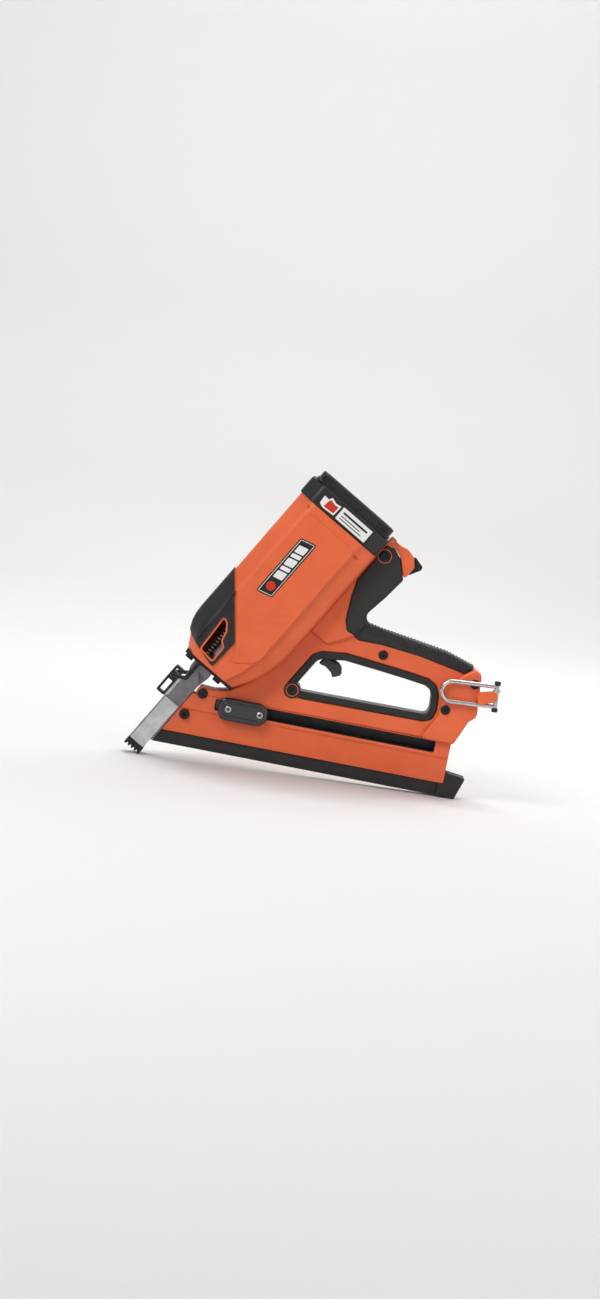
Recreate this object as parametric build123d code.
# Cordless framing nailer. It is laid out on its drive axis, then leaned back until it rests on
# the nose and on the rear of the magazine. Millimetres. Before leaning, X runs back from the
# drive axis, Y runs across with the left side negative, and Z runs up the axis from the nose tip.
from build123d import *
import math
import os

os.makedirs("parts", exist_ok=True)

# Clearances and walls
GAP = 0.3
WALL = 3.0
THIN_WALL = 2.0

# Drive line
PROBE_TRAVEL = 18.0
TIP_REAR = 3.6
NOSE_LOW = 20.0
PLATE_LOW, PLATE_TOP = 120.0, 124.0
CYLINDER_SHOULDER = 138.0
CYLINDER_TOP = 256.0
BORE_RADIUS = 31.0
CYLINDER_RADIUS = BORE_RADIUS + WALL
BUMPER_TOP = 155.0
PISTON_LOW, PISTON_TOP = 244.0, 254.0
BLADE_TIP = 104.5
CHANNEL_HALF = 4.3
SLEEVE_RADIUS = 42.0
SLEEVE_LOW, SLEEVE_TOP = 226.0, 304.0
HEAD_LOW, HEAD_TOP = 312.0, 322.5
FAN_RADIUS = 30.0
SHAFT_RADIUS = 2.4
WIRE_RADIUS = 2.2
WIRE_X, WIRE_Y = -12.0, 40.7

# Housing and cap
HOUSING_TOP = 331.6
HOUSING_HALF = 50.0
CAP_TOP = 354.8
FRAME_TOP = 366.1

# Handle
LIMB_HALF = 17.0
COLUMN_HALF = 21.5
REAR_HALF = 25.0
SKIN = 2.0
RIM_WIDTH = 8.0
FUEL_X, FUEL_RADIUS = 73.0, 15.5
FUEL_LOW, FUEL_TOP = 232.0, 342.0

# Magazine, measured along it (s) and square to it (t) from the bottom of the wear strip
MAGAZINE_ANGLE = 30.0
MAGAZINE_ORIGIN = 17.4
STRIP_TOP = 14.6
SLOT_LOW, SLOT_TOP = 46.2, 59.3
SLOT_FRONT, SLOT_REAR = 66.0, 309.5
CHANNEL_LOW, CHANNEL_TOP = 3.0, 73.0
MAGAZINE_REAR = 326.0
CAP_REAR = 340.6
MAGAZINE_FRONT_X = 4.6
FOLLOWER_S, FOLLOWER_T = 97.4, 50.7

# Rafter hook
HOOK_X, HOOK_Y, HOOK_Z = 254.5, -30.6, 302.9
HOOK_ANGLE = 34.0
HOOK_HALF = 11.0
HOOK_LEG = 48.0
HOOK_RADIUS = 2.4

# Fuel door
DOOR_PIN_X, DOOR_PIN_Z = 59.5, 356.5


def slab(points, low, high, grow=0.0):
    """A side-view outline made solid between two widths."""
    outline = make_face(Polyline(*points, close=True))
    if grow:
        outline = offset(outline, grow, kind=Kind.INTERSECTION)
    return Rot(90, 0, 0) * (Pos(0, 0, -high) * extrude(outline, high - low, dir=(0, 0, 1)))


def column(points, low, high, grow=0.0):
    """A plan-view outline made solid between two heights."""
    outline = make_face(Polyline(*points, close=True))
    if grow:
        outline = offset(outline, grow, kind=Kind.INTERSECTION)
    return Pos(0, 0, low) * extrude(outline, high - low, dir=(0, 0, 1))


def bar(section, start, end):
    """A cross-section in Y and Z made solid along X."""
    face = Plane.YZ * make_face(Polyline(*section, close=True))
    return Pos(start, 0, 0) * extrude(face, end - start, dir=(1, 0, 0))


def disc(radius, low, high, x=0.0, y=0.0):
    return Pos(x, y, (low + high) / 2) * Cylinder(radius, high - low)


def cross_pin(radius, low, high, x, z):
    return Pos(x, (low + high) / 2, z) * Rot(90, 0, 0) * Cylinder(radius, high - low)


def block(x, y, z):
    """A box from three (low, high) spans."""
    return Pos(sum(x) / 2, sum(y) / 2, sum(z) / 2) * Box(x[1] - x[0], y[1] - y[0], z[1] - z[0])


def bent_rod(points, radius):
    """Round wire through a run of points, with a rounded elbow at each."""
    runs = []
    for start, end in zip(points, points[1:]):
        path = Vector(*end) - Vector(*start)
        run = Cylinder(radius, path.length, align=(Align.CENTER, Align.CENTER, Align.MIN))
        runs.append(Plane(origin=start, z_dir=path) * run)
    solid = runs[0]
    for run, elbow in zip(runs[1:], points[1:-1]):
        solid = solid + Pos(*elbow) * Sphere(radius) + run
    return solid


def side_screw(x, z, face, head_radius, head_height, shank_length, shank_radius=2.4):
    """A star-drive screw set into the left side: its head stands on the face at y = face."""
    head = cross_pin(head_radius, face - head_height, face, x, z)
    head = chamfer(head.edges().group_by(Axis.Y)[0], head_height * 0.3)
    socket = RegularPolygon(head_radius * 0.5, 6)
    recess = Rot(90, 0, 0) * extrude(socket, head_height * 0.6)
    head = head - Pos(x, face - head_height + head_height * 0.6, z) * recess
    return head + cross_pin(shank_radius, face, face + shank_length, x, z)


def bevelled(points, half, bevel):
    """A slab with its two side outlines bevelled."""
    solid = slab(points, -half, half)
    for index in (0, -1):
        solid = chamfer(solid.faces().sort_by(Axis.Y)[index].edges(), bevel)
    return solid


magazine = Pos(0, 0, MAGAZINE_ORIGIN) * Rot(0, -MAGAZINE_ANGLE, 0)
hook = Pos(HOOK_X, HOOK_Y, HOOK_Z) * Rot(0, -HOOK_ANGLE, 0)
nodes = {}

# Motor housing: one orange moulding round the power unit, with a floor and an open top
HOUSING_SIDE = [(-48.6, HOUSING_TOP), (56.2, HOUSING_TOP), (56.2, 182), (52.8, 166), (45.3, 144),
                (33, PLATE_TOP), (-31, PLATE_TOP), (-37.8, 136), (-48.6, 158)]
HOUSING_PLAN = [(-48.6, -25), (-33, -50), (36, -50), (40, -46), (56.2, -40),
                (56.2, 40), (40, 46), (36, 50), (-33, 50), (-48.6, 25)]
PANEL = [(-30, 321), (35, 321), (35, 162), (14, 144), (6, 163), (-30, 204)]
WINDOW = [(-23.7, 176.4), (-18.1, 174.6), (-12, 166.8), (-9.3, 156), (-3, 151.5), (-2.6, 132.2),
          (-21, 134.4)]
SHROUD = [(-56, 228), (-31.5, 202.3), (2.6, 163.1), (1.3, 125), (-37.5, 136.4), (-56, 144)]


def housing_block(inset):
    side = slab(HOUSING_SIDE, -60, 60, -inset)
    return side & column(HOUSING_PLAN, PLATE_LOW - 10, HOUSING_TOP + 10, -inset)


cavity = housing_block(WALL) + column(HOUSING_PLAN, SLEEVE_TOP, HOUSING_TOP, -WALL)
housing = housing_block(0)
for side in (-1, 1):
    panel = slab(PANEL, HOUSING_HALF, HOUSING_HALF + 1.5)
    panel = chamfer(panel.faces().sort_by(Axis.Y)[-1].edges(), 1.4)
    housing = housing + (panel if side > 0 else mirror(panel, Plane.XZ))
housing = housing - cavity - disc(27.2, PLATE_TOP - 1, PLATE_TOP + 5)
window = slab(WINDOW, -60, 60)
housing = housing - window
for side in (-1, 1):
    housing = housing - disc(WIRE_RADIUS + 0.8, 110, 140, WIRE_X, side * WIRE_Y)

shroud = (housing_block(-THIN_WALL) - housing_block(0)) & slab(SHROUD, -60, 60)
nodes["vent_shroud"] = shroud - slab(WINDOW, -60, 60, -0.8)

# Lower plate and its bolts, which clamp the nosepiece and cylinder to the housing floor
plate = block((-31.3, 32.9), (-36, 36), (PLATE_LOW, PLATE_TOP))
plate = fillet(plate.edges().filter_by(Axis.Z), 5)
blade_way = block((-CHANNEL_HALF, CHANNEL_HALF), (-CHANNEL_HALF, CHANNEL_HALF), (0, 145))
bolts = None
for x, y in ((-24, 22), (14.7, 28)):
    for side in (-1, 1):
        head = Pos(x, side * y, PLATE_LOW - 4) * extrude(RegularPolygon(4.6, 6), 4)
        bolt = head + disc(2.5, PLATE_LOW, PLATE_TOP + 8, x, side * y)
        bolts = bolt if bolts is None else bolts + bolt
nodes["plate_bolts"] = bolts
nodes["lower_plate"] = plate - blade_way - bolts
nodes["motor_housing"] = housing - bolts

# Cylinder with a neck, exhaust ports, a top flange and two spring lugs
cylinder = disc(27, PLATE_TOP, CYLINDER_SHOULDER)
cylinder += disc(CYLINDER_RADIUS, CYLINDER_SHOULDER, CYLINDER_TOP)
cylinder += disc(SLEEVE_RADIUS - 2.6 - GAP, CYLINDER_TOP - 7, CYLINDER_TOP)
lug_span = (186, 190)
for side in (-1, 1):
    lug = block((WIRE_X - 6, WIRE_X + 6), (26, 46), lug_span)
    lug -= disc(WIRE_RADIUS + GAP, 180, 195, WIRE_X, WIRE_Y)
    cylinder += lug if side > 0 else mirror(lug, Plane.XZ)
cylinder -= disc(BORE_RADIUS, CYLINDER_SHOULDER + WALL, CYLINDER_TOP)
cylinder -= blade_way
for step in range(6):
    port = Pos(CYLINDER_RADIUS, 0, 168) * Rot(0, 90, 0) * Cylinder(5, 12)
    cylinder -= Rot(0, 0, 30 + 60 * step) * port
nodes["cylinder"] = cylinder

bumper = disc(BORE_RADIUS - GAP, CYLINDER_SHOULDER + WALL, BUMPER_TOP)
bumper = fillet(bumper.edges().group_by(Axis.Z)[-1], 3)
nodes["bumper"] = bumper - disc(7, 130, 160)

# Piston, its two rings and the driver blade
piston = disc(BORE_RADIUS - GAP, PISTON_LOW, PISTON_TOP) - disc(22, PISTON_TOP - 4, PISTON_TOP)
rings = None
for low in (PISTON_LOW + 1.5, PISTON_LOW + 5):
    piston -= disc(BORE_RADIUS, low, low + 1.5) - disc(BORE_RADIUS - 2.5, low, low + 1.5)
    ring = disc(BORE_RADIUS - 0.1, low, low + 1.5) - disc(BORE_RADIUS - 2.5, low, low + 1.5)
    rings = ring if rings is None else rings + ring
nodes["piston"] = piston
nodes["piston_rings"] = rings
nodes["driver_blade"] = block((-3, 3), (-3.5, 3.5), (BLADE_TIP, PISTON_LOW))

# Combustion chamber sleeve and the wire form that lifts it with the probe
sleeve = disc(SLEEVE_RADIUS, SLEEVE_LOW, SLEEVE_TOP) + disc(44.5, SLEEVE_LOW, SLEEVE_LOW + 4)
nodes["combustion_chamber"] = sleeve - disc(SLEEVE_RADIUS - 2.6, SLEEVE_LOW, SLEEVE_TOP)
wire_path = [(WIRE_X, WIRE_Y, SLEEVE_LOW), (WIRE_X, WIRE_Y, 99), (-25, 26, 91), (-25, 8, 89),
             (-25, -8, 89), (-25, -26, 91), (WIRE_X, -WIRE_Y, 99), (WIRE_X, -WIRE_Y, SLEEVE_LOW)]
wire = bent_rod(wire_path, WIRE_RADIUS)
for side in (-1, 1):
    wire += disc(4.6, 129.5, 131, WIRE_X, side * WIRE_Y)
nodes["wire_form"] = wire

springs = None
for side in (-1, 1):
    coil = Helix(pitch=4.0, height=51.0, radius=3.9)
    start = Plane(origin=coil @ 0, z_dir=coil % 0)
    turn = sweep(start * Circle(0.7), path=coil)
    turn = Pos(WIRE_X, side * WIRE_Y, 132.5) * turn
    springs = turn if springs is None else springs + turn
nodes["probe_springs"] = springs

# Depth adjuster: a loop frame clamped to the wire form in front of the probe
loop = slab([(-28.5, 66), (-28.5, 101), (-17.4, 101), (-17.4, 66)], -7, 7)
loop = fillet(loop.edges().filter_by(Axis.Y), 2)
loop -= slab([(-25.8, 69), (-25.8, 84), (-20.2, 84), (-20.2, 69)], -8, 8)
loop -= slab([(-25.8, 94), (-25.8, 98), (-20.2, 98), (-20.2, 94)], -8, 8)
nodes["depth_adjuster"] = loop - bent_rod([(-25, -9, 89), (-25, 9, 89)], WIRE_RADIUS)

# Nosepiece: a cast guide with a flared head, the drive channel and an open back for the nails
nose = block((-14, 4.3), (-12, 12), (NOSE_LOW, PLATE_LOW))
flare = slab([(-14, 104), (-16.5, 110), (-16.5, PLATE_LOW), (7, PLATE_LOW), (7, 110)], -18, 18)
flare += slab([(-12, 96), (-14, 104), (7, 110), (4.3, 98)], -15, 15)
nose = nose + flare
nose -= blade_way
nose -= block((0, 10), (-CHANNEL_HALF, CHANNEL_HALF), (0, 104))
nose -= slab([(4.3, 100), (-6, 112), (7, 112), (12, 100)], -20, -7)
nose -= block((-20, -14), (-7.2, 7.2), (90, 130))
nodes["nosepiece"] = chamfer(nose.faces().sort_by(Axis.Z)[0].edges().filter_by(Axis.Y), 1.5)

# Probe: a folded channel round the nosepiece, with a toothed tip that meets the work
probe_outer = block((-17.1, 2.6), (-15, 15), (9, 68))
probe_outer = fillet(probe_outer.edges().filter_by(Axis.Z).group_by(Axis.X)[0], 2)
probe = probe_outer + block((-17.1, -14.3), (-6.5, 6.5), (68, 94))
nose_room = block((-14.3, 20), (-12.3, 12.3), (-1, 99))
nodes["probe"] = probe - nose_room - block((-20, -8), (-9, 9), (24, 34))
tip = block((-17.1, TIP_REAR), (-15, 15), (0, 9)) - nose_room
tooth = [(-1.7, -0.1), (1.7, -0.1), (0, 3)]
for x in (-13.5, -9.2, -4.9, -0.6):
    tip -= slab([(x + dx, z) for dx, z in tooth], -16, 16)
for y in (-8.6, -4.3, 0, 4.3, 8.6):
    tip -= Pos(0, y, 0) * bar(tooth, -20, -10)
nodes["probe_tip"] = tip

# Cylinder head, seal, spark plug, motor and fan
head = disc(SLEEVE_RADIUS - 2.6 - GAP, HEAD_LOW, HEAD_TOP) + disc(45.2, HEAD_TOP, HEAD_TOP + 3.5)
seal_low = HEAD_LOW + 3
seal_groove = disc(50, seal_low, seal_low + 3) - disc(SLEEVE_RADIUS - 6, seal_low, seal_low + 3)
seal = disc(SLEEVE_RADIUS - 2.6 - GAP, seal_low, seal_low + 3)
nodes["head_seal"] = seal - disc(SLEEVE_RADIUS - 6, seal_low, seal_low + 3)
plug_x, plug_y = 22, 18
plug = disc(4.5, HEAD_LOW, 330, plug_x, plug_y) + disc(1.2, HEAD_LOW - 6, HEAD_LOW, plug_x, plug_y)
plug += Pos(plug_x, plug_y, HEAD_TOP + 3.5) * extrude(RegularPolygon(7, 6), 5)
nodes["spark_plug"] = plug + disc(3.5, 330, 344, plug_x, plug_y)
nodes["cylinder_head"] = head - seal_groove - disc(SHAFT_RADIUS + GAP, 300, 330) - plug
mount_top = HEAD_TOP + 3.5 + 8
nodes["motor_mount"] = disc(19, HEAD_TOP + 3.5, mount_top) - disc(15, 320, 340)
motor = disc(15, HEAD_TOP + 3.5, 349) - disc(SHAFT_RADIUS + GAP, 320, 334)
nodes["fan_motor"] = fillet(motor.edges().group_by(Axis.Z)[-1], 2)
fan = disc(6, 294, 304) + disc(SHAFT_RADIUS, 304, 333)
for step in range(5):
    blade = Pos(17, 0, 299) * Rot(28, 0, 0) * Box(26, 10, 1.6)
    fan += Rot(0, 0, 72 * step) * (blade & disc(FAN_RADIUS, 280, 310))
nodes["fan"] = fan

# Cap: a lower tier over the head, a raised frame, the filter and its slotted cover
CAP_PLAN = [(-50.8, -28), (-36, -49), (38, -49), (56.2, -42), (56.2, 42), (38, 49), (-36, 49),
            (-50.8, 28)]
cap = column(CAP_PLAN, HOUSING_TOP, CAP_TOP)
cap = chamfer(cap.faces().sort_by(Axis.Z)[-1].edges(), 2.5)
cap -= column(CAP_PLAN, HOUSING_TOP, CAP_TOP - WALL, -WALL)
cap -= block((-36, 44), (-32, 32), (340, 370))
frame = block((-45, 53.4), (-42, 42), (CAP_TOP, FRAME_TOP))
frame = fillet(frame.edges().filter_by(Axis.Z), 8)
frame = chamfer(frame.faces().sort_by(Axis.Z)[-1].edges(), 1.5)
frame_room = fillet(block((-40, 48.4), (-37, 37), (350, 370)).edges().filter_by(Axis.Z), 5)
screws = None
for x in (-42.5, 50.9):
    for side in (-1, 1):
        screw = disc(1.7, CAP_TOP - 2, FRAME_TOP - 1.5, x, side * 26)
        screws = screw if screws is None else screws + screw
nodes["cap_screws"] = screws
nodes["cap_body"] = cap - screws
nodes["cap_frame"] = frame - frame_room - screws - disc(2.5, FRAME_TOP - 1.5, 370, -42.5, 26)
filter_pad = block((-39.5, 47.9), (-36.5, 36.5), (CAP_TOP, 360.5))
nodes["air_filter"] = fillet(filter_pad.edges().filter_by(Axis.Z), 4.8)
cover = fillet(block((-39.7, 48.1), (-36.7, 36.7), (360.5, 364.2)).edges().filter_by(Axis.Z), 4.8)
for step in range(9):
    slot_x = -32 + 9.1 * step
    cover -= block((slot_x, slot_x + 4.5), (-28, 28), (350, 370))
nodes["filter_cover"] = cover

# Handle halves: fuel column, grip, rear block and the limb above the magazine
HANDLE = [(6, 101), (20, 108), (33, 119), (45.6, 143.5), (53.2, 165.7), (56.7, 182), (56.7, 349.6),
          (69.6, 349.6), (77.3, 346), (94.4, 330.8), (92.3, 304.8), (88.4, 278), (98.2, 268.8),
          (115.5, 274.4), (149, 287.8), (185, 301.8), (218.5, 309.6), (227, 311), (231.7, 305.5),
          (239.2, 294), (252.3, 275.1), (253.8, 270.5), (250.8, 262), (252.7, 248.2),
          (254.3, 232.8), (6, 89.6)]
COLUMN = [(56.7, 225), (56.7, 349.6), (69.6, 349.6), (77.3, 346), (94.4, 330.8), (92.3, 304.8),
          (88.4, 278), (98.2, 268.8), (96, 250), (80, 225)]
REAR = [(206, 268), (213, 297), (218.5, 309.6), (227, 311), (231.7, 305.5), (239.2, 294),
        (252.3, 275.1), (253.8, 270.5), (250.8, 262), (252.7, 248.2), (254.3, 232.8), (222, 214.2)]
OPENING = [(75.1, 168), (75.6, 206.3), (79.9, 214.9), (102.6, 231.7), (139.3, 248.4),
           (165.8, 260.1), (187.8, 269.2), (199.3, 269.1), (207.7, 262.9), (217, 248.8),
           (219.2, 237.9), (213.1, 230.3), (97.1, 162.2), (84, 155)]
GRIP = [(57.2, 300), (57.2, 350.1), (69.9, 350.8), (78.5, 347.7), (96.6, 331.9), (94.5, 304.6),
        (90.7, 278.1), (98.6, 271.1), (114.8, 276.5), (148.3, 289.9), (184.5, 304),
        (219.2, 311.9), (213.7, 298.3), (163.3, 280.5), (125.9, 263.6), (102.8, 250.3),
        (86, 249.7), (76.5, 258.7), (64.3, 282.9)]
GRIP_ROOM = [(106, 264), (150, 281), (206, 301), (208, 294), (160, 274.5), (112, 254)]
BAY = [(222.6, 248.6), (275, 248.6), (275, 298.4), (222.6, 298.4)]
BATTERY = [(223, 249), (250, 249), (250, 272), (234.5, 296), (223, 298)]

body = bevelled(HANDLE, LIMB_HALF, 2.5)
body += bevelled(COLUMN, COLUMN_HALF, 3)
body += bevelled(REAR, REAR_HALF, 3)
rim_outer = slab(OPENING, -LIMB_HALF - 1, LIMB_HALF + 1)
boss = cross_pin(9.1, -LIMB_HALF - 1.6, LIMB_HALF + 1.6, 84, 163)
nail_way = magazine * block((-30, 400), (-4.5, 4.5), (CHANNEL_LOW, CHANNEL_TOP))
core = body
for side in (-1, 1):
    ear = slab([(57.2, 345), (57.2, 360), (64, 360), (64, 345)], 20.2, COLUMN_HALF)
    core += ear if side > 0 else mirror(ear, Plane.XZ)
core -= rim_outer + slab(OPENING, -40, 40)
core -= boss
core -= nail_way
fuel_well = disc(FUEL_RADIUS + GAP, FUEL_LOW - 0.5, 352, FUEL_X)
core -= fuel_well
core -= slab(BAY, -19, 19)
core -= slab(GRIP_ROOM, -13.5, 13.5)
core -= block((58.5, 72.5), (-14, 14), (172, 226))
trigger_room = block((89.5, 100.5), (-5.5, 5.5), (205, 258))
core -= trigger_room
door_pin = cross_pin(1.5, -COLUMN_HALF, COLUMN_HALF, DOOR_PIN_X, DOOR_PIN_Z)
core -= door_pin
nodes["door_pin"] = door_pin

# Black skins: the grip overmould and the rim of the hand opening
skin = slab(GRIP, -LIMB_HALF - SKIN, LIMB_HALF + SKIN)
column_cut = block((50, 99), (-60, 60), (240, 355))
skin += slab(GRIP, -COLUMN_HALF - SKIN, COLUMN_HALF + SKIN) & column_cut
skin -= slab(HANDLE, -LIMB_HALF, LIMB_HALF) + slab(COLUMN, -COLUMN_HALF, COLUMN_HALF)
skin -= slab(REAR, -REAR_HALF, REAR_HALF)
skin -= block((56, 64.3), (-COLUMN_HALF - 0.1, COLUMN_HALF + 0.1), (344, 361))
nodes["grip_overmould"] = skin - fuel_well

rim = rim_outer + boss
rim -= slab(OPENING, -30, 30, -RIM_WIDTH) - boss
rim -= block((84.5, 106), (-7.5, 7.5), (196, 262))
rim_screw = side_screw(84, 163, -LIMB_HALF - 1.6, 5.5, 1.2, 8)
nodes["opening_rim"] = rim - rim_screw

# Screws through the left side
screws = rim_screw
for x, z, face in ((133.6, 256.5, -LIMB_HALF), (222.9, 256, -REAR_HALF), (229, 297.8, -REAR_HALF),
                   (64.3, 338.5, -COLUMN_HALF - SKIN)):
    screws += side_screw(x, z, face, 5.3, 2, 4.5)
nodes["handle_screws"] = screws
for name in ("opening_rim", "grip_overmould"):
    nodes[name] = nodes[name] - screws
core -= screws
nose_screws = side_screw(12.9, 96.5, -LIMB_HALF, 5.7, 2.4, 10)
nose_screws += side_screw(12.7, 66.3, -LIMB_HALF, 5.7, 2.4, 10)
nodes["nose_screws"] = nose_screws

# Hook lug on the left half, with a bore for the hook's own cross wire
lug = hook * block((-27, 2), (-3.6, 7), (-4, 4))
lug += hook * Cylinder(4.6, 8)
lug -= hook * Cylinder(HOOK_RADIUS + GAP, 20)
left_half = (core & block((-10, 300), (-60, 0), (0, 400))) + (lug - slab(BAY, -19, 19))
nodes["handle_left"] = left_half - nose_screws
latch_way = cross_pin(5.3, 15, 30, 238, 262)
right_half = core & block((-10, 300), (0, 60), (0, 400))
nodes["handle_right"] = right_half - latch_way

# Rafter hook: a closed wire loop turning on its own cross wire, with two end caps
arc_path = hook * (Pos(-HOOK_LEG, 0, 0) * Rot(90, 0, 0) * CenterArc((0, 0), HOOK_HALF, 90, 180))
section = Plane(origin=arc_path @ 0, z_dir=arc_path % 0) * Circle(HOOK_RADIUS)
loop_wire = sweep(section, path=arc_path)
for side in (-1, 1):
    leg = bent_rod([(-HOOK_LEG, 0, side * HOOK_HALF), (0, 0, side * HOOK_HALF)], HOOK_RADIUS)
    loop_wire += hook * leg
    loop_wire += hook * (Pos(0, 0, side * HOOK_HALF) * Sphere(HOOK_RADIUS))
loop_wire += hook * Cylinder(HOOK_RADIUS, 2 * HOOK_HALF)
nodes["rafter_hook"] = loop_wire
caps = None
for side in (-1, 1):
    cap_end = hook * (Pos(0, 0, side * (HOOK_HALF + 3.4)) * Cylinder(3.4, 5))
    caps = cap_end - loop_wire if caps is None else caps + (cap_end - loop_wire)
nodes["hook_caps"] = caps
tube = Pos(0, 0, 6.1) * (Cylinder(4, 3.6) - Cylinder(HOOK_RADIUS + GAP, 5))
nodes["hook_spring"] = hook * tube

# Trigger and its switch
TRIGGER = [(87.2, 212.9), (102.9, 218.4), (113.4, 211.1), (113.5, 207.9), (108.3, 200.9),
           (103.8, 204.2), (86.9, 202.8)]
trigger = slab(TRIGGER, -7, 7)
trigger = chamfer(trigger.faces().sort_by(Axis.Y)[0].edges(), 1)
trigger = chamfer(trigger.faces().sort_by(Axis.Y)[-1].edges(), 1)
nodes["trigger"] = trigger + block((90, 100), (-5, 5), (211, 237))
nodes["trigger_switch"] = block((89.8, 100.2), (-5.2, 5.2), (244, 257))

# Fuel cell, metering valve, control board and the fuel door
cell = disc(FUEL_RADIUS, FUEL_LOW, FUEL_TOP, FUEL_X)
nodes["fuel_cell"] = fillet(cell.edges().group_by(Axis.Z)[-1], 3)
nodes["metering_valve"] = disc(8, FUEL_TOP, 346, FUEL_X - 4) + disc(3, 346, 349, FUEL_X - 4)
board = block((64, 65.6), (-12, 12), (174, 224))
for z in (180, 194, 208):
    board += block((65.6, 70), (-8, 6), (z, z + 9))
nodes["control_board"] = board
DOOR = [(57.4, 351.2), (57.4, 359), (70.4, 358.2), (79.6, 360.3), (89.6, 358), (97, 349.8),
        (96.9, 341.5), (96.8, 334.2), (78.9, 349.2), (69.9, 351.5)]
LATCH = [(97.3, 338), (97.4, 350), (90, 358.3), (92, 359.2), (103.6, 356.2), (104.8, 352.3)]
door = slab(DOOR, -19.8, 19.8)
nodes["fuel_door"] = door - cross_pin(1.5 + GAP, -30, 30, DOOR_PIN_X, DOOR_PIN_Z)
nodes["fuel_door_latch"] = slab(LATCH, -7, 7)

# Battery pack, its contacts and the release button
pack = slab(BATTERY, -18.7, 18.7)
pack = chamfer(pack.edges().filter_by(Axis.Y), 1.2)
for step in range(4):
    rib_z = 253 + 4.4 * step
    pack -= block((249, 252), (-14, 14), (rib_z, rib_z + 2))
pack -= block((222, 225), (-9, 9), (255, 275))
nodes["battery"] = pack
nodes["battery_contacts"] = block((222.6, 224), (-7, -2), (258, 272)) + block(
    (222.6, 224), (2, 7), (258, 272))
nodes["battery_latch"] = fillet(cross_pin(5, 22.4, 27.5, 238, 262).edges().group_by(Axis.Y)[-1], 1)

# Magazine: two side walls, the left one with the follower slot, a wear strip and a rear tray
MAG_SECTION = [(-11.5, STRIP_TOP), (-15, 42), (-16.5, 44.5), (-16.5, SLOT_TOP), (16.5, SLOT_TOP),
               (16.5, 44.5), (15, 42), (11.5, STRIP_TOP)]
front_cut = block((-60, MAGAZINE_FRONT_X), (-60, 60), (-60, 150))
mag = magazine * bar(MAG_SECTION, -20, MAGAZINE_REAR) - front_cut
mag -= magazine * block((SLOT_FRONT, SLOT_REAR), (-20, -4), (SLOT_LOW, SLOT_TOP + 1))
mag -= nail_way
nodes["magazine_left"] = (mag & block((-10, 300), (-60, 0), (0, 400))) - nose_screws
nodes["magazine_right"] = mag & block((-10, 300), (0, 60), (0, 400))
strip = magazine * block((-20, 319.8), (-9, 9), (0, STRIP_TOP)) - front_cut - nail_way
nodes["wear_strip"] = strip
TRAY = [(320, 0), (CAP_REAR, 0), (349, 24.6), (MAGAZINE_REAR + 0.2, 27.5),
        (MAGAZINE_REAR + 0.2, STRIP_TOP - 0.1), (320, STRIP_TOP - 0.1)]
tray = magazine * bevelled(TRAY, 13, 1.5)
nodes["magazine_end_cap"] = tray - nail_way

# Follower: a rounded grip outside, an arm through the slot and a pusher in the channel
pill = block((FOLLOWER_S - 27, FOLLOWER_S + 27), (-24, -17), (FOLLOWER_T - 12.5, FOLLOWER_T + 12.5))
pill = fillet(pill.edges().filter_by(Axis.Y), 11)
pill = fillet(pill.faces().sort_by(Axis.Y)[0].edges(), 2.5)
follower = pill + block((85, 112), (-17, -3.9), (SLOT_LOW + 1, SLOT_TOP - 1))
follower += block((58, 100), (-3.9, 3.9), (9, 68))
coil_room = disc(5.5, SLOT_LOW + 0.5, SLOT_TOP - 0.5, 99, -11)
follower_screws = None
for s in (81.4, 116.4):
    screw = cross_pin(3.6, -25, -22.5, s, FOLLOWER_T)
    follower_screws = screw if follower_screws is None else follower_screws + screw
nodes["follower"] = magazine * (follower - coil_room - follower_screws)
nodes["follower_screws"] = magazine * follower_screws
coil = disc(5.2, 48, 57.5, 99, -11) - disc(2, 40, 60, 99, -11)
nodes["follower_spring"] = magazine * coil

# Lean the tool back until the tip and the magazine's rear corner share one level
lean = math.radians(MAGAZINE_ANGLE)
rear_x = CAP_REAR * math.cos(lean)
rear_z = MAGAZINE_ORIGIN + CAP_REAR * math.sin(lean)
REST_TILT = math.degrees(math.atan2(rear_z, rear_x - TIP_REAR))
leaned = {name: Rot(0, REST_TILT, 0) * solid for name, solid in nodes.items()}
box = Compound(children=[Compound(s.solids()) for s in leaned.values()]).bounding_box()
ROW_SHIFT = Pos(-box.center().X, -box.center().Y, -box.min.Z)
for name, solid in leaned.items():
    export_step(Compound(children=(ROW_SHIFT * solid).solids()), f"parts/{name}.step")
